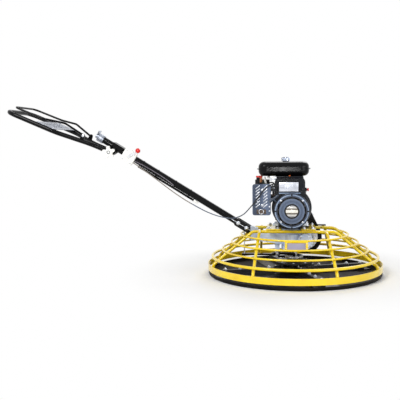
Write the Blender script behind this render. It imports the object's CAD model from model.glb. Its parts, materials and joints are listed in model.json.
import json
import math

import bmesh
import bpy
from mathutils import Matrix, Vector


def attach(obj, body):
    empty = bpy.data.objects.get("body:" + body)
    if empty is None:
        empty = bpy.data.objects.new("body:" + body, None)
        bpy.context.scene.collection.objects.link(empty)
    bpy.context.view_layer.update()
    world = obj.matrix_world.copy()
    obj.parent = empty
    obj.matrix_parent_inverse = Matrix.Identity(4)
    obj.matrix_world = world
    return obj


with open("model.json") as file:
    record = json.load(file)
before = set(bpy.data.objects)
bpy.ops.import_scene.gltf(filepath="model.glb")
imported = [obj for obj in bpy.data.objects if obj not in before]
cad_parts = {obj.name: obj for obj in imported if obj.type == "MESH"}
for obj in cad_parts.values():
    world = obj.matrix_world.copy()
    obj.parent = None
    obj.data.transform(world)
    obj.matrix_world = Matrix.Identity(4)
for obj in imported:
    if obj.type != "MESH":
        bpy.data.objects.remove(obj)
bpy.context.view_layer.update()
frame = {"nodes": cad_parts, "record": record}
print("frame loaded:", len(frame["nodes"]), "nodes")

# camera and lamps: a long lens from the starter side, soft light from three sides
cameraSet = {"place": (0.0, -3.8, 0.748), "tilt": 85.08, "turn": 8.06, "roll": -0.68, "lens": 60.05}


def makeCamera(settings):
    data = bpy.data.cameras.new("studioCamera")
    data.lens = settings["lens"]
    data.sensor_width = 36.0
    camera = bpy.data.objects.new("studioCamera", data)
    turn = Matrix.Rotation(math.radians(settings["turn"]), 4, "Z")
    tilt = Matrix.Rotation(math.radians(settings["tilt"]), 4, "X")
    roll = Matrix.Rotation(math.radians(settings["roll"]), 4, "Z")
    camera.matrix_world = Matrix.Translation(settings["place"]) @ turn @ tilt @ roll
    bpy.context.scene.collection.objects.link(camera)
    bpy.context.scene.camera = camera


lampSet = {
    "key": {"place": (-2.2, -3.4, 3.6), "aim": (-0.2, 0.0, 0.35), "size": 2.0, "power": 116},
    "glint": {"place": (-1.3, -4.2, 2.3), "aim": (-0.1, 0.0, 0.4), "size": 0.3, "power": 26},
    "front": {"place": (-0.12, -4.1, 0.45), "aim": (-0.05, 0.0, 0.45), "size": 0.12, "power": 4},
    "fill": {"place": (2.8, -3.0, 1.2), "aim": (0.0, 0.0, 0.25), "size": 2.4, "power": 42},
    "back": {"place": (0.6, 3.2, 3.0), "aim": (-0.2, 0.0, 0.4), "size": 2.4, "power": 64},
}


def makeLamp(name, settings):
    data = bpy.data.lights.new(name + "Lamp", "AREA")
    data.shape = "DISK"
    data.size = settings["size"]
    data.energy = settings["power"]
    lamp = bpy.data.objects.new(name + "Lamp", data)
    place = Vector(settings["place"])
    aim = (Vector(settings["aim"]) - place).to_track_quat("-Z", "Y")
    lamp.matrix_world = Matrix.Translation(place) @ aim.to_matrix().to_4x4()
    bpy.context.scene.collection.objects.link(lamp)


# materials
def hexColour(code):
    parts = [int(code[i:i + 2], 16) / 255 for i in (1, 3, 5)]  # sRGB to linear
    return tuple(c / 12.92 if c <= 0.04045 else ((c + 0.055) / 1.055) ** 2.4 for c in parts) + (1.0,)


def addNode(tree, kind, settings=None, inputs=None, links=None, stops=None):
    node = tree.nodes.new(kind)
    for key, value in (settings or {}).items():
        setattr(node, key, value)
    for key, value in (inputs or {}).items():
        node.inputs[key].default_value = value
    for key, source in (links or {}).items():
        tree.links.new(source, node.inputs[key])
    if stops:  # places and tones of a colour ramp
        band = node.color_ramp
        while len(band.elements) < len(stops):
            band.elements.new(0.5)
        for element, (place, tone) in zip(band.elements, stops):
            element.position = place
            element.color = tone if isinstance(tone, tuple) else (tone, tone, tone, 1.0)
    return node


def startMaterial(name):
    material = bpy.data.materials.new(name)
    material.use_nodes = True
    tree = material.node_tree
    tree.nodes.clear()
    return material, tree, addNode(tree, "ShaderNodeTexCoord").outputs["Object"]


def endMaterial(material, tree, shader):
    addNode(tree, "ShaderNodeOutputMaterial", links={"Surface": shader.outputs[0]})
    return material


# how many pattern cells fit in a metre when one is that many millimetres wide
def perMetre(millimetres):
    return 1000.0 / millimetres


# tones that change with the distance from a point, as on a part sprayed or moulded in two colours
def addBands(tree, place, bands, patchMask):
    away = addNode(tree, "ShaderNodeVectorMath", {"operation": "SUBTRACT"}, {1: bands["centre"]}, {0: place})
    flat = addNode(tree, "ShaderNodeVectorMath", {"operation": "MULTIPLY"}, {1: bands["keep"]},
                   {0: away.outputs["Vector"]})
    reach = addNode(tree, "ShaderNodeVectorMath", {"operation": "LENGTH"}, links={0: flat.outputs["Vector"]})
    share = addNode(tree, "ShaderNodeMath", {"operation": "DIVIDE"}, {1: bands["span"]},
                    {0: reach.outputs["Value"]})
    tones = addNode(tree, "ShaderNodeValToRGB", links={"Fac": share.outputs[0]},
                    stops=[(r / bands["span"], hexColour(tone)) for r, tone in bands["tones"]])
    return addNode(tree, "ShaderNodeMix", {"data_type": "RGBA", "blend_type": "MULTIPLY"}, {0: 0.2},
                   {6: tones.outputs["Color"], 7: patchMask.outputs["Color"]})


# two near tones mixed by a mask, or the banded tones where a finish has them
def addTint(tree, place, tones, mask, settings):
    if "bands" in settings:
        return addBands(tree, place, settings["bands"], mask)
    return addNode(tree, "ShaderNodeMix", {"data_type": "RGBA"},
                   {6: hexColour(tones[0]), 7: hexColour(tones[1])},
                   {0: mask.outputs["Color"]})


# joins colour, gloss and relief in the shader that ends a finish
def endFinish(material, tree, inputs, tint, gloss, grain, depth):
    relief = addNode(tree, "ShaderNodeBump", inputs={"Distance": depth},
                     links={"Height": grain.outputs["Fac"]})
    shader = addNode(tree, "ShaderNodeBsdfPrincipled", inputs=inputs,
                     links={"Base Color": tint.outputs[2], "Roughness": gloss.outputs["Color"],
                            "Normal": relief.outputs["Normal"]})
    return endMaterial(material, tree, shader)


# sprayed or stoved paint: two near tones in broad patches, orange peel, and chips that show what is under it
def makeEnamel(name, tone, shade, settings):
    material, tree, place = startMaterial(name)
    patch = addNode(tree, "ShaderNodeTexNoise", inputs={"Scale": perMetre(110), "Detail": 3.0},
                    links={"Vector": place})
    patchMask = addNode(tree, "ShaderNodeValToRGB", links={"Fac": patch.outputs["Fac"]},
                        stops=[(0.35, 0.0), (0.7, 1.0)])
    tint = addTint(tree, place, (tone, shade), patchMask, settings)
    chips = addNode(tree, "ShaderNodeTexNoise",
                    inputs={"Scale": perMetre(14), "Detail": 6.0, "Roughness": 0.7},
                    links={"Vector": place})
    low = settings.get("chips", 0.76)
    chipMask = addNode(tree, "ShaderNodeValToRGB", links={"Fac": chips.outputs["Fac"]},
                       stops=[(low, 0.0), (low + 0.02, 1.0)])
    worn = addNode(tree, "ShaderNodeMix", {"data_type": "RGBA"},
                   {7: hexColour(settings.get("under", "#4a4641"))},
                   {0: chipMask.outputs["Color"], 6: tint.outputs[2]})
    smear = addNode(tree, "ShaderNodeTexNoise", inputs={"Scale": perMetre(33)}, links={"Vector": place})
    gloss = addNode(tree, "ShaderNodeValToRGB", links={"Fac": smear.outputs["Fac"]},
                    stops=[(0.3, settings["gloss"]), (0.75, settings["gloss"] + settings.get("smear", 0.1))])
    peel = addNode(tree, "ShaderNodeTexNoise", inputs={"Scale": perMetre(3), "Detail": 2.0},
                   links={"Vector": place})
    inputs = {"IOR": settings.get("ior", 1.45), "Coat Weight": settings.get("coat", 0.0),
              "Coat Roughness": 0.1,
              "Specular IOR Level": settings.get("shine", 0.5)}
    return endFinish(material, tree, inputs, worn, gloss, peel, settings.get("peel", 0.0002))


# bare metal: two near tones in small patches, finger marks in the gloss, and cast grain or drawn lines
def makeMetal(name, tone, shade, settings):
    material, tree, place = startMaterial(name)
    lines = addNode(tree, "ShaderNodeMapping", inputs={"Scale": settings.get("stretch", (1.0, 1.0, 1.0))},
                    links={"Vector": place})
    patch = addNode(tree, "ShaderNodeTexNoise",
                    inputs={"Scale": perMetre(settings.get("patch", 45)), "Detail": 4.0},
                    links={"Vector": lines.outputs["Vector"]})
    patchMask = addNode(tree, "ShaderNodeValToRGB", links={"Fac": patch.outputs["Fac"]},
                        stops=[(0.35, 0.0), (0.7, 1.0)])
    tint = addTint(tree, place, (tone, shade), patchMask, settings)
    marks = addNode(tree, "ShaderNodeTexNoise", inputs={"Scale": perMetre(16)}, links={"Vector": place})
    gloss = addNode(tree, "ShaderNodeValToRGB", links={"Fac": marks.outputs["Fac"]},
                    stops=[(0.3, settings["gloss"] - 0.06), (0.7, settings["gloss"] + 0.1)])
    grain = addNode(tree, "ShaderNodeTexNoise",
                    inputs={"Scale": perMetre(settings.get("grainSize", 2.0)), "Detail": 3.0},
                    links={"Vector": lines.outputs["Vector"]})
    inputs = {"Metallic": settings.get("metallic", 1.0)}
    return endFinish(material, tree, inputs, tint, gloss, grain, settings.get("grain", 0.0002))


# moulded plastic or rubber: one colour under a little dust, with spark-eroded grain
def makeMoulded(name, tone, dusty, settings):
    material, tree, place = startMaterial(name)
    dust = addNode(tree, "ShaderNodeTexNoise", inputs={"Scale": perMetre(40), "Detail": 5.0},
                   links={"Vector": place})
    dustMask = addNode(tree, "ShaderNodeValToRGB", links={"Fac": dust.outputs["Fac"]},
                       stops=[(0.4, 0.0), (0.8, 1.0)])
    tint = addTint(tree, place, (tone, dusty), dustMask, settings)
    gloss = addNode(tree, "ShaderNodeValToRGB", links={"Fac": dust.outputs["Fac"]},
                    stops=[(0.3, settings["gloss"] - 0.04), (0.75, settings["gloss"] + 0.12)])
    grain = addNode(tree, "ShaderNodeTexNoise", inputs={"Scale": perMetre(1.5), "Detail": 2.0},
                    links={"Vector": place})
    inputs = {"IOR": settings.get("ior", 1.49)}
    return endFinish(material, tree, inputs, tint, gloss, grain, settings.get("grain", 0.00015))


finishes = {
    # alkyd enamel sprayed on welded tube: lemon yellow, glossy, hardly chipped
    "cage_paint": makeEnamel("cageEnamel", "#f8da1c", "#ebc60a",
                             {"gloss": 0.18, "chips": 0.8, "coat": 0.5, "peel": 0.00006, "smear": 0.06}),
    # pan steel in dark primer, rubbed bare by dry concrete
    "pan_paint": makeEnamel("panPrimer", "#0c0a0a", "#1a140f",
                            {"gloss": 0.56, "under": "#4a443c", "chips": 0.75, "ior": 1.3, "shine": 0.25}),
    # die-cast aluminium, bead blasted: pale and silky
    "cast_housing": makeMetal("castAluminium", "#e6f0ff", "#bccff2",
                              {"gloss": 0.32, "grain": 0.0004, "metallic": 0.1}),
    # black enamel stoved on tube and sheet: deep and glossy
    "black_paint": makeEnamel("blackEnamel", "#040405", "#08080a",
                              {"gloss": 0.14, "chips": 0.83, "ior": 1.25, "peel": 0.000004, "smear": 0.03}),
    # satin engine enamel on pressed sheet: blue-black
    "engine_black": makeEnamel("engineEnamel", "#07080c", "#10141d",
                               {"gloss": 0.24, "under": "#3a3c42", "chips": 0.83, "ior": 1.3}),
    # turned and ground steel: even and bright
    "machined_steel": makeMetal("turnedSteel", "#d4d6da", "#bcbfc4", {"gloss": 0.22}),
    # bright zinc on pressed steel: bluish white, cloudy
    "zinc_steel": makeMetal("zincSteel", "#dfe2e8", "#c3c8d0", {"gloss": 0.28}),
    # rolled spring steel: black mill scale, with long draw lines
    "blade_steel": makeMetal("springSteel", "#1c1d20", "#121316",
                             {"gloss": 0.4, "metallic": 0.15, "stretch": (0.1, 1.0, 1.0)}),
    # sand-cast iron in thin dark paint: rough and dull
    "cast_iron": makeMetal("castIron", "#151619", "#0e0f11",
                           {"gloss": 0.42, "grain": 0.0006, "metallic": 0.15}),
    # cut bronze: warm, with fine tool lines
    "bronze": makeMetal("cutBronze", "#c28f4a", "#a97a3c", {"gloss": 0.3}),
    # sand-cast aluminium fins: grey and matt
    "fin_alloy": makeMetal("finAluminium", "#a5a8ae", "#85888e",
                           {"gloss": 0.46, "grain": 0.0004, "metallic": 0.85}),
    # cured rubber of the belt: black, dry and dull
    "belt_rubber": makeMoulded("beltRubber", "#18181a", "#232326", {"gloss": 0.7, "ior": 1.52}),
    # moulded grip rubber: black, a little softer
    "grip_rubber": makeMoulded("gripRubber", "#101012", "#1c1c1f", {"gloss": 0.55, "ior": 1.52}),
    # extruded PVC sheath of the control cable: grey, smooth
    "cable_sheath": makeMoulded("cableSheath", "#77727a", "#625d66", {"gloss": 0.36, "ior": 1.4}),
    # corrugated polyethylene conduit: black, waxy
    "conduit_plastic": makeMoulded("conduitPlastic", "#060607", "#0e0e11",
                                   {"gloss": 0.62, "ior": 1.22, "grain": 0.00004}),
    # moulded polypropylene of the air cleaner: black, fine grain
    "cover_plastic": makeMoulded("coverPlastic", "#0a0b0e", "#14161b", {"gloss": 0.36, "ior": 1.32}),
    # moulded nylon: white, slightly yellow where dusty
    "white_plastic": makeMoulded("whiteNylon", "#f4f4f0", "#e2e1da", {"gloss": 0.34, "ior": 1.53}),
    # moulded phenolic ball and button: red, polished
    "red_plastic": makeMoulded("redPhenolic", "#d8261b", "#bd1c13",
                               {"gloss": 0.14, "ior": 1.6, "grain": 0.00004}),
    # heat-proof paint, browned by the exhaust
    "hot_steel": makeEnamel("mufflerPaint", "#4a403a", "#6a5648",
                            {"gloss": 0.5, "under": "#8a6a50", "chips": 0.66}),
}
# satin enamel of the starter cover: blue-grey, spun paler inside its black groove
starterEnamel = makeEnamel("starterEnamel", "#3b465c", "#4a566e", {
    "gloss": 0.24, "chips": 0.86, "ior": 1.42,
    "bands": {"centre": (-0.012, 0.0, 0.370), "keep": (1.0, 0.0, 1.0), "span": 0.1,
              "tones": [(0.0405, "#08090c"), (0.0415, "#64748f"), (0.055, "#4a5870"), (0.0675, "#6b7b96"),
                        (0.0690, "#07080b"), (0.0790, "#07080b"), (0.0800, "#46526a"), (0.0980, "#2a3242")]}})
# the same enamel where it is rubbed pale on pressed rims
rimEnamel = makeEnamel("rimEnamel", "#8fa2bd", "#6f829e", {"gloss": 0.24, "chips": 0.84})
# satin enamel of the muffler cover: mid blue-grey
coverEnamel = makeEnamel("coverEnamel", "#52607a", "#333c4c", {
    "gloss": 0.3, "chips": 0.84, "ior": 1.42,
    "bands": {"centre": (-0.240, 0.0, 0.0), "keep": (1.0, 0.0, 0.0), "span": 0.15,
              "tones": [(0.010, "#7e8ca8"), (0.018, "#39445a"), (0.060, "#46536b"), (0.085, "#66748f"),
                        (0.110, "#5a6882")]}})
# anodised aluminium plates: bare, brushed along their length
plateAluminium = makeMetal("brushedPlate", "#e6e9f2", "#b6bac6",
                           {"gloss": 0.28, "stretch": (0.12, 1.0, 1.0), "patch": 22})
# lilac lacquer on a bare aluminium plate: matt
lilacLacquer = makeEnamel("lilacLacquer", "#a9a5b8", "#9792a8",
                          {"gloss": 0.4, "chips": 0.82, "under": "#d0d0d6"})
# brushed steel badge: brown-grey bands across its bare middle
badgeSteel = makeMetal("badgeSteel", "#f4f1ea", "#8d867c", {
    "gloss": 0.24, "metallic": 0.4, "stretch": (0.05, 1.0, 1.0),
    "bands": {"centre": (0.0, 0.0, 0.370), "keep": (0.0, 0.0, 1.0), "span": 0.04,
              "tones": [(0.007, "#f2efe6"), (0.0085, "#7a7368"), (0.0145, "#5f594f"), (0.0165, "#b9b7b2"),
                        (0.022, "#eceae6"), (0.030, "#8e9096")]}})
# chromed brass cap: mirror bright with soft smears
capChrome = makeMetal("capChrome", "#b9c1d2", "#1c1f26", {"gloss": 0.14, "grain": 0.00005, "patch": 20})
# nitrile fuel hose: greenish black
hoseRubber = makeMoulded("fuelHose", "#27352b", "#37453a", {"gloss": 0.45, "ior": 1.52})
# moulded orange polypropylene of small caps
orangeCap = makeMoulded("orangeCap", "#f0701c", "#d95f12", {"gloss": 0.3})
# phenolic ball on a bare pressed arm
leverPaint = makeMoulded("leverBall", "#d8261b", "#bd1c13", {
    "gloss": 0.14, "ior": 1.5, "grain": 0.00004,
    "bands": {"centre": (-0.8851, -0.0603, 0.7057), "keep": (1.0, 1.0, 1.0), "span": 0.05,
              "tones": [(0.0149, "#e0190f"), (0.0158, "#e9ebee")]}})
# control cable: bare wire by the handle, grey sheath in its middle, black sleeve over the muffler cover
cableSleeve = makeMoulded("cableSleeve", "#6f7884", "#5b636e", {
    "gloss": 0.36, "ior": 1.4,
    "bands": {"centre": (-1.0, 0.0, 0.0), "keep": (1.0, 0.0, 0.0), "span": 1.0,
              "tones": [(0.40, "#8d857c"), (0.43, "#5f6c80"), (0.745, "#4d586a"), (0.765, "#0b0c10")]}})
# moulded handle of the recoil rope: black nylon with a blue-grey sheen
pullNylon = makeMoulded("pullNylon", "#2c3645", "#3d4a5e", {"gloss": 0.26, "ior": 1.45})
# browned brass of the fuel tap
tapBrass = makeMetal("tapBrass", "#b87a4a", "#7d4a2c", {"gloss": 0.3, "metallic": 0.5, "patch": 12})
# galvanised sheet of the handle: grey spangles, stained
stainedZinc = makeMetal("stainedZinc", "#c6ccd8", "#3e424b", {"gloss": 0.32, "patch": 9, "metallic": 0.7})
# dull zinc on the clamps of the handle
dullZinc = makeMetal("dullZinc", "#b4bac6", "#70757f", {"gloss": 0.3, "patch": 18, "metallic": 0.8})
# handle bracket: bare casting at the gearbox, black enamel along the tube
bracketPaint = makeEnamel("bracketPaint", "#cdd6e6", "#aab6ca", {
    "gloss": 0.22, "chips": 0.86, "ior": 1.3, "peel": 0.00005,
    "bands": {"centre": (0.0, 0.0, 0.0), "keep": (1.0, 0.0, 0.0), "span": 0.5,
              "tones": [(0.2455, "#c4cede"), (0.2475, "#050506")]}})
# glazed alumina of the spark plug: white, wet gloss
plugCeramic = makeMoulded("plugCeramic", "#f2f1ec", "#e4e2da", {"gloss": 0.12, "ior": 1.76, "grain": 0.00002})

nodeSlot = {part["node"]: part["material_slot"] for part in frame["record"]["subparts"]}
nodeFinish = {"starter_cover": starterEnamel, "muffler_cover": coverEnamel, "fuel_cap": capChrome,
              "throttle_lever": leverPaint, "throttle_cable": cableSleeve, "starter_grip": pullNylon,
              "handle_bracket": bracketPaint, "handle_plate": stainedZinc, "tube_end_clamp": dullZinc,
              "pitch_handle": dullZinc}
for nodeName, part in frame["nodes"].items():
    part.data.materials.clear()
    part.data.materials.append(nodeFinish.get(nodeName, finishes[nodeSlot[nodeName]]))
print("finishes set")


# forms that the pieces share, and the ways they face
toTop, toRight, toBelt, toStarter = (0, 0, 1), (1, 0, 0), (0, 1, 0), (0, -1, 0)


# makes the form an object on its body; the slot gives its finish unless another is named
def endPiece(name, form, slotName, body="machine", material=None, sharpAngle=35.0):
    bmesh.ops.remove_doubles(form, verts=form.verts, dist=0.00001)
    bmesh.ops.recalc_face_normals(form, faces=form.faces)
    mesh = bpy.data.meshes.new(name)
    form.to_mesh(mesh)
    form.free()
    mesh.materials.append(material or finishes[slotName])
    mesh.polygons.foreach_set("use_smooth", [True] * len(mesh.polygons))
    mesh.set_sharp_from_angle(angle=math.radians(sharpAngle))
    piece = bpy.data.objects.new(name, mesh)
    bpy.context.scene.collection.objects.link(piece)
    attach(piece, body)
    return piece


# turns and moves a form so that its z runs along one direction and its x near another
def standAt(place, along=toTop, across=None):
    z = Vector(along).normalized()
    x = Vector(across) if across else (Vector(toRight) if abs(z.x) < 0.9 else Vector(toBelt))
    y = z.cross(x).normalized()
    return Matrix.Translation(Vector(place)) @ Matrix((y.cross(z), y, z)).transposed().to_4x4()


def softenEdges(form, verts, rule, width, steps=2):
    edges = [e for e in {e for v in verts for e in v.link_edges} if rule(e)]
    bmesh.ops.bevel(form, geom=edges, offset=width, segments=steps, profile=0.5, affect="EDGES", material=-1)


# round bar, disc or hexagon that stands on its place
def addRound(form, place, along, radius, height, tip=None, sides=24, soft=0.0, steps=2):
    made = bmesh.ops.create_cone(form, cap_ends=True, segments=sides, radius1=radius,
                                 radius2=radius if tip is None else tip, depth=height,
                                 matrix=standAt(place, along) @ Matrix.Translation((0, 0, height / 2)))
    if soft > 0:
        softenEdges(form, made["verts"], lambda e: any(len(f.verts) == sides for f in e.link_faces), soft,
                    steps)


# hexagon head with its washer, and the end of its stud where it shows
def addBolt(form, place, along, size, washer=True, stud=False):
    up = Vector(along).normalized()
    lift = 0.0
    if washer:
        addRound(form, place, along, size * 1.1, size * 0.18, soft=size * 0.04)
        lift = size * 0.17
    addRound(form, Vector(place) + up * lift, along, size * 0.92, size * 0.62, sides=6, soft=size * 0.07)
    if stud:
        addRound(form, Vector(place) + up * (lift + size * 0.6), along, size * 0.48, size * 0.4, sides=16,
                 soft=size * 0.08)


# block centred on its place, with rounded edges
def addBlock(form, place, size, along=toTop, across=None, soft=0.0, steps=2):
    made = bmesh.ops.create_cube(form, size=1.0,
                                 matrix=standAt(place, along, across) @ Matrix.Diagonal((*size, 1.0)))
    if soft > 0:
        softenEdges(form, made["verts"], lambda e: True, soft, steps)


# ring with a round section, like a weld bead, a groove or an O-ring
def addRing(form, place, along, radius, thick, sides=48, section=10, flat=1.0):
    made = bmesh.ops.create_circle(form, segments=section, radius=thick,
                                   matrix=Matrix.Translation((radius, 0, 0)) @ Matrix.Rotation(math.pi / 2,
                                           4, "X"))
    edges = list({e for v in made["verts"] for e in v.link_edges})
    spun = bmesh.ops.spin(form, geom=made["verts"] + edges, cent=(0, 0, 0), axis=toTop, angle=math.tau,
                          steps=sides, use_merge=True)
    verts = set(made["verts"]) | {g for g in spun["geom_last"] if isinstance(g, bmesh.types.BMVert)}
    grown = set(verts)
    while True:  # every vert of the ring hangs together
        more = {e.other_vert(v) for v in grown for e in v.link_edges} - grown
        if not more:
            break
        grown |= more
    bmesh.ops.transform(form, matrix=standAt(place, along) @ Matrix.Diagonal((1, 1, flat, 1)),
                        verts=list(grown))


# hose, lead or rod along a smooth line
def addHose(form, points, radius, resolution=4):
    curve = bpy.data.curves.new("line", "CURVE")
    curve.dimensions = "3D"
    curve.bevel_depth = radius
    curve.bevel_resolution = resolution
    curve.use_fill_caps = True
    spline = curve.splines.new("NURBS")
    spline.points.add(len(points) - 1)
    for point, place in zip(spline.points, points):
        point.co = (*place, 1.0)
    spline.order_u = min(4, len(points))
    spline.use_endpoint_u = True
    spline.resolution_u = 6
    holder = bpy.data.objects.new("line", curve)
    mesh = bpy.data.meshes.new_from_object(holder)
    form.from_mesh(mesh)
    bpy.data.objects.remove(holder)
    bpy.data.meshes.remove(mesh)
    bpy.data.curves.remove(curve)


# places spread evenly round a circle: the two offsets of each from the middle
def roundPlaces(count, radius, start=0.5, turned=0.0):
    for i in range(count):
        turn = math.tau * (i + start) / count + turned
        yield radius * math.cos(turn), radius * math.sin(turn)


tubeLine = {"footX": -0.256, "footZ": 0.251, "slope": math.radians(31.5)}
loopLine = {"s": 0.915, "up": -0.036, "slope": math.radians(23)}


# point on the main tube: s along it, side towards the starter side, up from its axis
def onTube(s, side, up):
    slope = tubeLine["slope"]
    return Vector((tubeLine["footX"] - s * math.cos(slope) + up * math.sin(slope), -side,
                   tubeLine["footZ"] + s * math.sin(slope) + up * math.cos(slope)))


# point on the upper handle, measured from its pivot
def onLoop(s, side, up):
    pivot = onTube(loopLine["s"], 0, loopLine["up"])
    slope = loopLine["slope"]
    return Vector((pivot.x - s * math.cos(slope) + up * math.sin(slope), -side,
                   pivot.z + s * math.sin(slope) + up * math.cos(slope)))


rotorStart = -70  # degrees from x to the first arm


# point on one of the four arms: r from the rotor axis, side towards the trailing edge
def onArm(number, r, side, height):
    turn = math.radians(rotorStart - 90 * (number - 1))
    return Vector((r * math.cos(turn) - side * math.sin(turn), r * math.sin(turn) + side * math.cos(turn),
                   height))


tubeUp = (onTube(0, 0, 1) - onTube(0, 0, 0)).normalized()
tubeAlong = (onTube(1, 0, 0) - onTube(0, 0, 0)).normalized()
loopUp = (onLoop(0, 0, 1) - onLoop(0, 0, 0)).normalized()

# bolts on the blades and the grease nipples of the arm sockets
bladeBolts = {"radii": (0.15, 0.235, 0.32, 0.405), "top": 0.0382, "size": 0.010, "clampRadius": 0.1105,
              "clampTop": 0.047, "clampSize": 0.0045}
for number in (1, 2, 3, 4):
    form = bmesh.new()
    for r in bladeBolts["radii"]:
        addBolt(form, onArm(number, r, 0, bladeBolts["top"]), toTop, bladeBolts["size"], stud=True)
    addBolt(form, onArm(number, bladeBolts["clampRadius"], 0, bladeBolts["clampTop"]), toTop,
            bladeBolts["clampSize"])
    endPiece(f"bladeBolts{number}", form, "zinc_steel", f"trowel_arm_{number}")

socketNipples = {"radius": 0.072, "top": 0.0455, "height": 0.011, "hex": 0.0045, "neck": 0.003, "tip": 0.0018,
                 "ball": 0.0024}
form = bmesh.new()
for number in (1, 2, 3, 4):
    place = onArm(number, socketNipples["radius"], 0, socketNipples["top"])
    third = Vector((0, 0, socketNipples["height"] / 3))
    addRound(form, place, toTop, socketNipples["hex"], third.z, sides=6, soft=0.0004)
    addRound(form, place + third, toTop, socketNipples["neck"], third.z, tip=socketNipples["tip"], sides=16)
    addRound(form, place + 2 * third, toTop, socketNipples["ball"], third.z, sides=16, soft=0.0006)
endPiece("socketNipples", form, "zinc_steel", "rotor")

# bolts through the engine's feet and through the two cross plates
engineBolts = {"xs": (-0.092, 0.068), "ys": (-0.027, 0.069), "top": 0.2759, "size": 0.012, "washer": 0.017,
               "thick": 0.003}
form = bmesh.new()
for x in engineBolts["xs"]:
    for y in engineBolts["ys"]:
        addRound(form, (x, y, engineBolts["top"]), toTop, engineBolts["washer"], engineBolts["thick"],
                 soft=0.0008)
        addBolt(form, (x, y, engineBolts["top"] + engineBolts["thick"]), toTop, engineBolts["size"],
                stud=True)
plateBolts = {"xs": (-0.138, -0.089, 0.054, 0.102), "y": 0.097, "top": 0.2655, "size": 0.010}
for x in plateBolts["xs"]:
    for y in (-plateBolts["y"], plateBolts["y"]):
        addBolt(form, (x, y, plateBolts["top"]), toTop, plateBolts["size"], stud=True)
endPiece("plateBolts", form, "zinc_steel")

# bolts round the gearbox flange and on both bearing caps
gearboxBolts = {"count": 10, "radius": 0.0676, "top": 0.1612, "size": 0.005, "capRadius": 0.036,
                "capFronts": (-0.0834, 0.0864), "wormX": 0.062, "wormZ": 0.192, "capSize": 0.006}
form = bmesh.new()
flangePlaces = list(roundPlaces(gearboxBolts["count"], gearboxBolts["radius"]))
for x, y in flangePlaces[1:-1]:  # the worm tunnel takes the place of two
    addBolt(form, (x, y, gearboxBolts["top"]), toTop, gearboxBolts["size"], False)
for dx, dz in roundPlaces(4, gearboxBolts["capRadius"]):
    for y in gearboxBolts["capFronts"]:
        addBolt(form, (gearboxBolts["wormX"] + dx, y, gearboxBolts["wormZ"] + dz),
                (0, math.copysign(1, y), 0), gearboxBolts["capSize"])
endPiece("gearboxBolts", form, "zinc_steel")

# bolts of the handle bracket and screws of the throttle box
bracketBolts = {"stations": (0.015, 0.070), "face": 0.0255, "size": 0.010}
form = bmesh.new()
for s in bracketBolts["stations"]:
    for side in (-1, 1):
        addBolt(form, onTube(s, side * bracketBolts["face"], 0), (0, -side, 0), bracketBolts["size"],
                stud=side < 0)
boxScrews = {"stations": (0.781, 0.835), "ups": (-0.028, 0.028), "face": 0.0444, "head": 0.0045}
for s in boxScrews["stations"]:
    for up in boxScrews["ups"]:
        addRound(form, onTube(s, boxScrews["face"], up), toStarter, boxScrews["head"], 0.003, soft=0.001)
endPiece("handleScrews", form, "zinc_steel")
print("bolts done")

# starter cover: bare badge with its ring, four small bolts, pale pressed rim and four dark notches
starter = {"x": -0.012, "z": 0.370, "front": -0.1683, "badge": 0.0325, "boltRadius": 0.083,
           "boltSize": 0.0048, "rimRadius": 0.0885, "rimThick": 0.0032, "notchRadius": 0.0885,
           "notchSize": (0.013, 0.008, 0.004)}
form = bmesh.new()
addRound(form, (starter["x"], starter["front"] + 0.0004, starter["z"]), toStarter, starter["badge"], 0.0016,
         sides=72, soft=0.0006)
addRing(form, (starter["x"], starter["front"] - 0.0010, starter["z"]), toStarter, starter["badge"] - 0.004,
        0.0006, sides=72, section=8)
endPiece("starterBadge", form, "cast_housing", material=badgeSteel)

form = bmesh.new()
for dx, dz in roundPlaces(4, starter["boltRadius"]):
    addBolt(form, (starter["x"] + dx, starter["front"] - 0.0002, starter["z"] + dz), toStarter,
            starter["boltSize"])
endPiece("starterBolts", form, "zinc_steel")

form = bmesh.new()
addRing(form, (starter["x"], starter["front"] + 0.0012, starter["z"]), toStarter, starter["rimRadius"],
        starter["rimThick"], sides=96, section=14, flat=0.6)
endPiece("starterRim", form, "engine_black", material=rimEnamel)

form = bmesh.new()
for dx, dz in roundPlaces(4, starter["notchRadius"], start=0):
    addBlock(form, (starter["x"] + dx, starter["front"] + 0.0006, starter["z"] + dz), starter["notchSize"],
             toStarter, (dx, 0, dz), soft=0.0012)
endPiece("starterNotches", form, "cover_plastic")

# blower scroll: deep black shroud that bulges round the starter, and the dark saddle that carries the tank
scroll = {"middle": (-0.0135, -0.1335, 0.386), "radius": 0.109, "depth": 0.066, "soft": 0.016}
form = bmesh.new()
addRound(form, scroll["middle"], toBelt, scroll["radius"], scroll["depth"], sides=96, soft=scroll["soft"],
         steps=5)
endPiece("blowerScroll", form, "engine_black")
saddle = {"middle": (-0.027, -0.030, 0.5525), "size": (0.152, 0.160, 0.0115)}
form = bmesh.new()
addBlock(form, saddle["middle"], saddle["size"], soft=0.003)
endPiece("tankSaddle", form, "engine_black")

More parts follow.
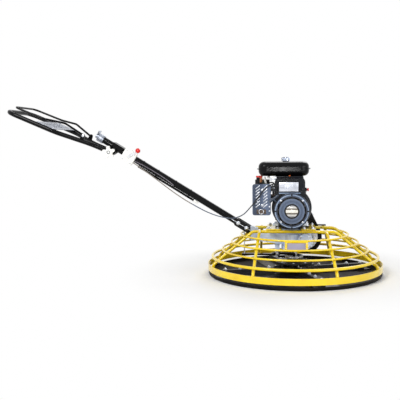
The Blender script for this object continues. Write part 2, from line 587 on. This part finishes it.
# bare label plate in its black bezel over the starter, its rivets, and the pale ledge of the scroll under it
label = {"middle": (-0.029, -0.1375, 0.5015), "size": (0.104, 0.050, 0.0012), "rivet": 0.0022,
         "bezel": (-0.0225, -0.1358, 0.508), "bezelSize": (0.146, 0.068, 0.0026),
         "ledge": (-0.024, -0.1362, 0.4665), "ledgeSize": (0.118, 0.010, 0.006)}
form = bmesh.new()
addBlock(form, label["bezel"], label["bezelSize"], toStarter, toRight, soft=0.0008)
endPiece("labelBezel", form, "engine_black")
form = bmesh.new()
addBlock(form, label["middle"], label["size"], toStarter, toRight, soft=0.0004)
for sx in (-1, 1):
    for sz in (-1, 1):
        place = Vector(label["middle"]) + Vector((sx * (label["size"][0] / 2 - 0.005), -0.0005,
                                                  sz * (label["size"][1] / 2 - 0.005)))
        addRound(form, place, toStarter, label["rivet"], 0.0018, tip=label["rivet"] * 0.5, sides=16,
                 soft=0.0004)
endPiece("labelPlate", form, "cast_housing", material=plateAluminium)
form = bmesh.new()
addBlock(form, label["ledge"], label["ledgeSize"], toTop, toRight, soft=0.0025, steps=4)
endPiece("scrollLedge", form, "engine_black", material=rimEnamel)

# bare lilac plate that leans between the two upper hoops, behind its frame
namePlate = {"foot": (0.012, -0.354, 0.18467), "rise": (0.0, 0.054, 0.04233), "behind": 0.0070,
             "size": (0.106, 0.0565, 0.0016)}
rise = Vector(namePlate["rise"])
outward = Vector((0, -rise.z, rise.y)).normalized()
form = bmesh.new()
middle = Vector(namePlate["foot"]) + rise / 2 - outward * namePlate["behind"]
addBlock(form, middle, namePlate["size"], outward, toRight, soft=0.0005)
endPiece("namePlate", form, "cast_housing", material=lilacLacquer)
form = bmesh.new()
for sx in (-1, 1):
    for sz in (-1, 1):
        place = middle + Vector((sx * 0.0535, 0, 0)) + rise.normalized() * sz * 0.018 + outward * 0.0048
        addRound(form, place, outward, 0.003, 0.0026, tip=0.0018, sides=16, soft=0.0004)
endPiece("namePlateRivets", form, "zinc_steel")
print("starter and plates done")

# weld beads where the legs cross the hoops
beads = {"tops": ((-0.2279, -0.098), (0.177, -0.1739), (-0.190, -0.1595), (0.2279, -0.098)), "topZ": 0.2495,
         "kneeAngles": (201, -63, 244, -21), "kneeR": 0.4762, "kneeZ": 0.0707, "tube": 0.0085,
         "hoops": ((0.4635, 0.1020), (0.408, 0.14233), (0.354, 0.18467), (0.300, 0.227)),
         "radius": 0.0058, "thick": 0.0021}
form = bmesh.new()
for (topX, topY), angle in zip(beads["tops"], beads["kneeAngles"]):
    knee = Vector((beads["kneeR"] * math.cos(math.radians(angle)),
                   beads["kneeR"] * math.sin(math.radians(angle)), beads["kneeZ"]))
    top = Vector((topX, topY, beads["topZ"]))
    for hoopR, hoopZ in beads["hoops"]:
        spots = []
        for k in range(101):
            spot = top.lerp(knee, k / 100)
            flat = Vector((spot.x, spot.y, 0)).normalized()
            target = flat * hoopR + Vector((0, 0, hoopZ))
            spots.append(((target - spot).length, spot, target))
        reach, spot, target = min(spots, key=lambda s: s[0])
        normal = (target - spot).normalized()
        for mirrorY in (1, -1):
            place = spot + normal * (beads["tube"] - 0.0004)
            side = Vector((1, mirrorY, 1))
            addRing(form, place * side, normal * side, beads["radius"], beads["thick"], sides=20, section=8)
endPiece("weldBeads", form, "cage_paint", sharpAngle=60.0)
print("weld beads done")

# muffler cover: bright louvre lips in its slots, screws and side bolts, and the outlet's flange and lip
muffler = {"front": -0.1302, "screwZs": (0.400, 0.483), "screwX": -0.1735, "head": 0.0058, "boltX": -0.134,
           "boltZs": (0.368, 0.392), "boltSize": 0.0042,
           "flangeBolts": (-0.020, 0.020), "flangeBoltSize": 0.0036,
           "lipRadius": 0.0128, "lipThick": 0.0021, "slant": math.radians(40),
           "outlet": (-0.179, -0.1362, 0.364), "flange": (-0.179, -0.1318, 0.364),
           "flangeSize": (0.052, 0.025, 0.0032),
           "louvreXs": (-0.1985, -0.1565), "louvreZ": 0.397, "pitch": 0.017, "count": 7,
           "lip": (0.0300, 0.0052, 0.0018)}
form = bmesh.new()
slant = (math.cos(muffler["slant"]), 0, math.sin(muffler["slant"]))
for x in muffler["louvreXs"]:
    for i in range(muffler["count"]):
        addBlock(form, (x, muffler["front"] - 0.0004, muffler["louvreZ"] + i * muffler["pitch"]),
                 muffler["lip"], toStarter, slant, soft=0.0007)
endPiece("coverLouvres", form, "zinc_steel")
form = bmesh.new()
for z in muffler["screwZs"]:
    addRound(form, (muffler["screwX"], muffler["front"], z), toStarter, muffler["head"] + 0.0018, 0.0014,
             sides=32, soft=0.0004)
    addRound(form, (muffler["screwX"], muffler["front"] - 0.0013, z), toStarter, muffler["head"], 0.004,
             tip=muffler["head"] * 0.62, sides=32, soft=0.0013)
for z in muffler["boltZs"]:
    addBolt(form, (muffler["boltX"], muffler["front"], z), toStarter, muffler["boltSize"])
endPiece("mufflerScrews", form, "zinc_steel")
form = bmesh.new()
addBlock(form, muffler["flange"], muffler["flangeSize"], toStarter, toRight, soft=0.0014, steps=3)
for x in muffler["flangeBolts"]:
    addBolt(form, Vector(muffler["flange"]) + Vector((x, -0.0014, 0)), toStarter, muffler["flangeBoltSize"])
endPiece("outletFlange", form, "hot_steel")
form = bmesh.new()
addRing(form, muffler["outlet"], toStarter, muffler["lipRadius"], muffler["lipThick"], sides=48, section=12)
endPiece("outletLip", form, "zinc_steel")

# spark plug on the far side of the head, its boot, and the lead down to the coil
plug = {"seat": (-0.012, 0.0793, 0.500), "boot": 0.010, "lead": 0.0035}
form = bmesh.new()
seat = Vector(plug["seat"])
addRound(form, seat, toBelt, 0.0115, 0.006, sides=6, soft=0.0008)
addRound(form, seat + Vector((0, 0.006, 0)), toBelt, 0.0085, 0.004, sides=32, soft=0.0008)
endPiece("plugShell", form, "zinc_steel")
form = bmesh.new()
addRound(form, seat + Vector((0, 0.0095, 0)), toBelt, 0.0062, 0.012, tip=0.005, sides=32, soft=0.001)
endPiece("plugInsulator", form, "white_plastic", material=plugCeramic)
form = bmesh.new()
addRound(form, seat + Vector((0, 0.019, 0)), toBelt, plug["boot"], 0.024, tip=plug["boot"] * 0.8, sides=32,
         soft=0.0025)
addHose(form, [seat + Vector(p) for p in (
    (0, 0.040, 0), (0.004, 0.050, 0.002), (0.030, 0.052, -0.004), (0.062, 0.040, -0.020),
    (0.078, 0.006, -0.040), (0.079, -0.030, -0.052), (0.070, -0.050, -0.056))], plug["lead"])
endPiece("plugLead", form, "grip_rubber")

# fuel tap under the tank: brown body, red lever, white filter and hose, and the vent hose across from it
fuel = {"tap": (-0.1837, -0.045, 0.5575), "body": 0.0075, "hose": 0.0040,
        "filter": (-0.160, -0.045, 0.5315),
        "vent": ((0.046, -0.060, 0.560), (0.0475, -0.088, 0.552), (0.0485, -0.100, 0.535),
                 (0.0487, -0.103, 0.515), (0.050, -0.110, 0.496))}
tap = Vector(fuel["tap"])
form = bmesh.new()
addRound(form, tap + Vector((0, 0, 0.002)), (0, 0, -1), fuel["body"] + 0.003, 0.006, sides=6, soft=0.0008)
addRound(form, tap + Vector((0, 0, -0.004)), (0, 0, -1), fuel["body"], 0.032, sides=32, soft=0.0018)
endPiece("fuelTapBody", form, "bronze", material=tapBrass)
form = bmesh.new()
addRound(form, tap + Vector((-0.004, -0.0070, -0.005)), toStarter, 0.0075, 0.006, sides=24, soft=0.0014)
addBlock(form, tap + Vector((-0.015, -0.0105, -0.003)), (0.026, 0.009, 0.005), toStarter, toRight,
         soft=0.0016)
endPiece("fuelTapLever", form, "red_plastic")
form = bmesh.new()
filterAt = Vector(fuel["filter"])
addRound(form, filterAt + Vector((-0.004, 0, 0.017)), (0.22, 0, -1), 0.0065, 0.034, sides=32, soft=0.002)
addRound(form, filterAt + Vector((-0.0025, 0, 0.021)), (0.22, 0, -1), 0.0035, 0.042, sides=24, soft=0.001)
addBlock(form, filterAt + Vector((0.020, -0.004, 0.019)), (0.016, 0.010, 0.0136), soft=0.002)
endPiece("fuelFilter", form, "white_plastic")
form = bmesh.new()
addHose(form, [tap + Vector((0.006, 0, -0.030)), tap + Vector((0.010, 0, -0.038)),
               filterAt + Vector((0.004, 0.002, -0.020)), filterAt + Vector((0.012, 0.020, -0.018)),
               filterAt + Vector((0.034, 0.060, -0.012)), filterAt + Vector((0.048, 0.090, -0.020)),
               filterAt + Vector((0.0485, 0.100, -0.036))], fuel["hose"])
addHose(form, fuel["vent"], fuel["hose"])
endPiece("fuelHoses", form, "grip_rubber", material=hoseRubber)

# throttle bracket on the blower housing, and the small orange drain cap of the tank
linkage = {"plate": (-0.1125, -0.1225, 0.5452), "plateSize": (0.034, 0.003, 0.024),
           "tongue": (0.030, 0.0255, 0.003), "tongueFrom": (0.008, 0.010, -0.0105),
           "boltXs": (-0.009, 0.009), "boltSize": 0.0045, "cap": (-0.024, -0.086, 0.5585)}
form = bmesh.new()
addBlock(form, linkage["plate"], linkage["plateSize"], soft=0.0009)
addBlock(form, Vector(linkage["plate"]) + Vector(linkage["tongueFrom"]), linkage["tongue"], soft=0.0009)
for x in linkage["boltXs"]:
    addBolt(form, Vector(linkage["plate"]) + Vector((x, -0.0015, 0.003)), toStarter, linkage["boltSize"])
endPiece("throttleBracket", form, "zinc_steel")
form = bmesh.new()
addRound(form, linkage["cap"], (0, -1, -0.25), 0.0052, 0.006, sides=24, soft=0.0014)
endPiece("drainCap", form, "red_plastic", material=orangeCap)

# cast clamps over the engine's feet
clamps = {"places": ((-0.103, -0.045, 0.2835), (0.052, -0.047, 0.2835)), "size": (0.030, 0.020, 0.016),
          "bolt": 0.008}
form = bmesh.new()
for place in clamps["places"]:
    addBlock(form, place, clamps["size"], soft=0.003)
    addBolt(form, Vector(place) + Vector((0, 0, clamps["size"][2] / 2)), toTop, clamps["bolt"], stud=True)
endPiece("footClamps", form, "cast_housing")

# oil filler plug with its grip ribs, and the drain bolt, low on the crankcase
oil = {"ribs": 12, "bolt": 0.010, "filler": (-0.0825, 0.055, 0.303), "drain": (-0.0823, 0.012, 0.290),
       "radius": 0.013, "tilt": (-1, 0, 0.45)}
form = bmesh.new()
addRound(form, Vector(oil["filler"]) + Vector((0.002, 0, 0)), oil["tilt"], oil["radius"] + 0.002, 0.012,
         sides=32, soft=0.001)
fillerFrame = standAt(oil["filler"], oil["tilt"])
for dx, dy in roundPlaces(oil["ribs"], oil["radius"], start=0):
    addRound(form, fillerFrame @ Vector((dx, dy, 0.012)), oil["tilt"], 0.0026, 0.009, sides=12, soft=0.0008)
addRound(form, fillerFrame @ Vector((0, 0, 0.006)), oil["tilt"], oil["radius"], 0.018, sides=32, soft=0.0015)
endPiece("oilFiller", form, "cover_plastic")
form = bmesh.new()
addBolt(form, oil["drain"], (-1, 0, 0), oil["bolt"])
endPiece("drainBolt", form, "zinc_steel")
print("engine fittings done")

# clips on the air cleaner's sides; on the carburettor its bowl nut, bowl seam, choke post and choke lever
cleaner = {"clipXs": (-0.226, -0.1355), "clipY": 0.058, "clipZ": 0.486}
form = bmesh.new()
for x in cleaner["clipXs"]:
    outside = math.copysign(1, x + 0.18)
    addBlock(form, (x - outside * 0.0002, cleaner["clipY"], cleaner["clipZ"]), (0.0018, 0.016, 0.034),
             soft=0.0006)
    addHose(form, [(x + outside * 0.0018, cleaner["clipY"] + y, cleaner["clipZ"] + z) for y, z in
                   ((-0.009, 0.016), (-0.009, -0.004), (-0.006, -0.014), (0.006, -0.014), (0.009, -0.004),
                    (0.009, 0.016))], 0.0014)
endPiece("cleanerClips", form, "zinc_steel")
carburettor = {"x": -0.1115, "y": 0.058, "bowl": 0.447, "bore": 0.480}
form = bmesh.new()
addRound(form, (carburettor["x"], carburettor["y"], carburettor["bowl"]), (0, 0, -1), 0.006, 0.005, sides=6,
         soft=0.0006)
addRing(form, (carburettor["x"], carburettor["y"], carburettor["bowl"] + 0.019), toTop, 0.0192, 0.0012,
        sides=48, section=8)
addRound(form, (carburettor["x"] - 0.010, carburettor["y"], carburettor["bore"] + 0.0165), toTop, 0.0035,
         0.008, sides=20, soft=0.0006)
addBlock(form, (carburettor["x"] - 0.010, carburettor["y"] - 0.010, carburettor["bore"] + 0.0235),
         (0.007, 0.028, 0.0022), soft=0.0006)
endPiece("carburettorFittings", form, "zinc_steel")

# belt guard: screws of its face, and a pressed rib round each pulley
beltGuard = {"top": (-0.012, 0.370), "low": (0.062, 0.192), "face": 0.1595,
             "screws": ((-0.012, 0.436), (0.062, 0.112), (-0.020, 0.238), (0.104, 0.318), (0.025, 0.281)),
             "screwSize": 0.008, "topRib": 0.052, "lowRib": 0.066, "thick": 0.004}
form = bmesh.new()
for x, z in beltGuard["screws"]:
    addBolt(form, (x, beltGuard["face"], z), toBelt, beltGuard["screwSize"])
endPiece("beltGuardScrews", form, "zinc_steel")
form = bmesh.new()
for end in ("top", "low"):
    x, z = beltGuard[end]
    addRing(form, (x, beltGuard["face"] - 0.0006, z), toBelt, beltGuard[end + "Rib"], beltGuard["thick"],
            sides=64, section=12, flat=0.5)
endPiece("beltGuardRibs", form, "black_paint")
print("drive fittings done")

# side cable along the main tube, ties round the tube, and the conduit's end clip
runCable = {"stations": ((0.812, -0.012), (0.784, -0.008), (0.684, 0.000), (0.600, -0.001), (0.530, -0.003),
                         (0.500, -0.010)), "out": 0.0208, "radius": 0.0024}
form = bmesh.new()
addHose(form, [onTube(s, runCable["out"], up) for s, up in runCable["stations"]], runCable["radius"])
endPiece("sideCable", form, "cable_sheath")

ties = {"stations": (0.40, 0.50, 0.62, 0.72), "radius": 0.0198, "thick": 0.0012, "flat": 2.2}
form = bmesh.new()
for s in ties["stations"]:
    addRing(form, onTube(s, 0, 0), tubeAlong, ties["radius"], ties["thick"], sides=40, section=8,
            flat=ties["flat"])
endPiece("cableTies", form, "conduit_plastic")

clip = {"s": 0.346, "side": 0.004, "up": -0.0263, "size": (0.024, 0.011, 0.013), "neck": 0.0042,
        "long": 0.010}
form = bmesh.new()
addBlock(form, onTube(clip["s"], clip["side"], clip["up"]), clip["size"], tubeUp, tubeAlong, soft=0.003,
         steps=3)
addRound(form, onTube(clip["s"] - clip["long"], clip["side"], clip["up"]), -tubeAlong, clip["neck"],
         clip["long"], sides=24, soft=0.001)
endPiece("conduitClip", form, "white_plastic")

# bright wear strip along the near cheek of the bracket
strip = {"middle": 0.052, "out": 0.0258, "size": (0.125, 0.0032, 0.0012)}
form = bmesh.new()
addBlock(form, onTube(strip["middle"], strip["out"], 0.0), strip["size"], toStarter, tubeAlong, soft=0.0005)
endPiece("wearStrip", form, "zinc_steel")

# plug in the lower end of the main tube
tubeCap = {"s": 0.0022, "radius": 0.0159, "thick": 0.004}
form = bmesh.new()
addRound(form, onTube(tubeCap["s"], 0, 0), -tubeAlong, tubeCap["radius"], tubeCap["thick"], sides=48,
         soft=0.001)
endPiece("tubePlug", form, "conduit_plastic")

# throttle box: raised seam, and the scale beside the lever
box = {"s": 0.808, "face": 0.0444, "seam": 0.0318, "seamSize": (0.0768, 0.0788, 0.0018), "marks": 7,
       "reach": 0.027, "mark": (0.0035, 0.0012, 0.0012), "first": 20, "step": 14}
form = bmesh.new()
addBlock(form, onTube(box["s"], box["seam"], 0), box["seamSize"], toStarter, tubeAlong, soft=0.0004)
for k in range(box["marks"]):
    turn = math.radians(box["first"] + box["step"] * k)
    place = onTube(box["s"] - box["reach"] * math.cos(turn), box["face"], box["reach"] * math.sin(turn))
    addBlock(form, place, box["mark"], toStarter,
             tubeAlong * -math.cos(turn) + tubeUp * math.sin(turn), soft=0.0003)
endPiece("boxTrim", form, "white_plastic")

# nut on the pivot bolt of the upper handle, and caps on the pins of the bail
pivotNuts = {"out": 0.0553, "size": 0.010}
form = bmesh.new()
addBolt(form, onTube(loopLine["s"], -pivotNuts["out"], loopLine["up"]), toBelt, pivotNuts["size"],
        washer=True, stud=True)
endPiece("pivotNut", form, "zinc_steel")
bail = {"s": 0.172, "up": 0.032, "outs": (-0.0818, 0.0818), "radius": 0.0078, "thick": 0.0035}
form = bmesh.new()
for out in bail["outs"]:
    addRound(form, onLoop(bail["s"], out, bail["up"]), (0, -math.copysign(1, out), 0), bail["radius"],
             bail["thick"], sides=32, soft=0.0008)
endPiece("bailCaps", form, "zinc_steel", "bail")

# pressed eye in the middle of the star knob
eye = {"side": 0.0758, "radius": 0.0080, "thick": 0.0019}
form = bmesh.new()
addRing(form, onTube(loopLine["s"], eye["side"], loopLine["up"]), toStarter, eye["radius"], eye["thick"],
        sides=32)
endPiece("knobEye", form, "grip_rubber", "star_knob", material=pullNylon)

# plate of the upper handle: bolts at its corners
plateHold = {"ss": (0.318, 0.412), "outs": (-0.176, 0.176), "up": 0.0163, "size": 0.006}
form = bmesh.new()
for s in plateHold["ss"]:
    for out in plateHold["outs"]:
        addBolt(form, onLoop(s, out, plateHold["up"]), loopUp, plateHold["size"])
endPiece("handlePlateBolts", form, "zinc_steel", "upper_handle")

# lock nut of the pitch screw
wing = {"s": 1.0295, "radius": 0.011, "thick": 0.004}
form = bmesh.new()
addRound(form, onTube(wing["s"], 0, 0), tubeAlong, wing["radius"], wing["thick"], sides=6, soft=0.0006)
endPiece("wingNut", form, "zinc_steel")

# washers on the yoke's pin, and the collar of the pull rod
yoke = {"x": -0.095, "z": 0.112, "outs": (-0.0200, 0.0200), "washer": 0.009, "thick": 0.0016}
form = bmesh.new()
for out in yoke["outs"]:
    addRound(form, (yoke["x"], out, yoke["z"]), (0, math.copysign(1, out), 0), yoke["washer"], yoke["thick"],
             sides=32, soft=0.0004)
endPiece("yokeWashers", form, "zinc_steel", "yoke")
rod = {"x": -0.283, "collarZ": 0.128, "radius": 0.0030, "thick": 0.0012}
form = bmesh.new()
addRing(form, (rod["x"], 0, rod["collarZ"]), toTop, rod["radius"], rod["thick"], sides=24, section=8,
        flat=2.0)
endPiece("rodCollar", form, "zinc_steel", "pull_rod")

# screws round the pressure plate
plate = {"radius": 0.092, "top": 0.0693, "count": 8, "size": 0.006}
form = bmesh.new()
for x, y in roundPlaces(plate["count"], plate["radius"], turned=math.radians(rotorStart)):
    addBolt(form, (x, y, plate["top"]), toTop, plate["size"], False)
endPiece("pressureBolts", form, "zinc_steel", "plate")

# rivets that hold the pan to its rim
pan = {"radius": 0.470, "count": 24, "top": 0.0027, "rivet": 0.005, "height": 0.0022, "tip": 0.0032}
form = bmesh.new()
for x, y in roundPlaces(pan["count"], pan["radius"]):
    addRound(form, (x, y, pan["top"]), toTop, pan["rivet"], pan["height"], tip=pan["tip"], sides=16,
             soft=0.0005)
endPiece("panRivets", form, "pan_paint", "pan")
print("handle and rotor fittings done")

# floor and world: white paper that keeps the shadow near the machine and fades out to plain white
floorSet = {"half": 40.0, "tone": "#f6f6f6", "near": 0.5, "far": 1.05}
worldLight = 0.42


# one where a camera, glossy or transmission ray asks, so that what shines shows plain white too
def addSeen(tree):
    rays = addNode(tree, "ShaderNodeLightPath")
    seen = addNode(tree, "ShaderNodeMath", {"operation": "MAXIMUM"},
                   links={0: rays.outputs["Is Camera Ray"], 1: rays.outputs["Is Glossy Ray"]})
    return addNode(tree, "ShaderNodeMath", {"operation": "MAXIMUM"},
                   links={0: seen.outputs[0], 1: rays.outputs["Is Transmission Ray"]})


def makeFloor(settings):
    mesh = bpy.data.meshes.new("studioFloor")
    form = bmesh.new()
    bmesh.ops.create_grid(form, x_segments=1, y_segments=1, size=settings["half"])
    form.to_mesh(mesh)
    form.free()
    floor = bpy.data.objects.new("studioFloor", mesh)
    bpy.context.scene.collection.objects.link(floor)
    material, tree, place = startMaterial("floorPaper")
    paper = addNode(tree, "ShaderNodeBsdfDiffuse", inputs={"Color": hexColour(settings["tone"])})
    seen = addSeen(tree)
    away = addNode(tree, "ShaderNodeVectorMath", {"operation": "LENGTH"}, links={0: place})
    fade = addNode(tree, "ShaderNodeMapRange", {"interpolation_type": "SMOOTHSTEP"},
                   {"From Min": settings["near"],
                    "From Max": settings["far"]}, {"Value": away.outputs["Value"]})
    share = addNode(tree, "ShaderNodeMath", {"operation": "MULTIPLY"},
                    links={0: seen.outputs[0], 1: fade.outputs["Result"]})
    white = addNode(tree, "ShaderNodeEmission", inputs={"Color": (1, 1, 1, 1), "Strength": 1.0})
    both = addNode(tree, "ShaderNodeMixShader",
                   links={0: share.outputs[0], 1: paper.outputs[0], 2: white.outputs[0]})
    mesh.materials.append(endMaterial(material, tree, both))


def makeWorld(light):
    world = bpy.data.worlds.new("studioWorld")
    world.use_nodes = True
    tree = world.node_tree
    tree.nodes.clear()
    seen = addSeen(tree)
    soft = addNode(tree, "ShaderNodeBackground", inputs={"Color": (1, 1, 1, 1), "Strength": light})
    white = addNode(tree, "ShaderNodeBackground", inputs={"Color": (1, 1, 1, 1), "Strength": 1.0})
    both = addNode(tree, "ShaderNodeMixShader",
                   links={0: seen.outputs[0], 1: soft.outputs[0], 2: white.outputs[0]})
    addNode(tree, "ShaderNodeOutputWorld", links={"Surface": both.outputs[0]})
    bpy.context.scene.world = world


makeCamera(cameraSet)
for lampName, lampSettings in lampSet.items():
    makeLamp(lampName, lampSettings)
makeFloor(floorSet)
makeWorld(worldLight)
bpy.context.scene.view_settings.view_transform = "Standard"
print("stage set")
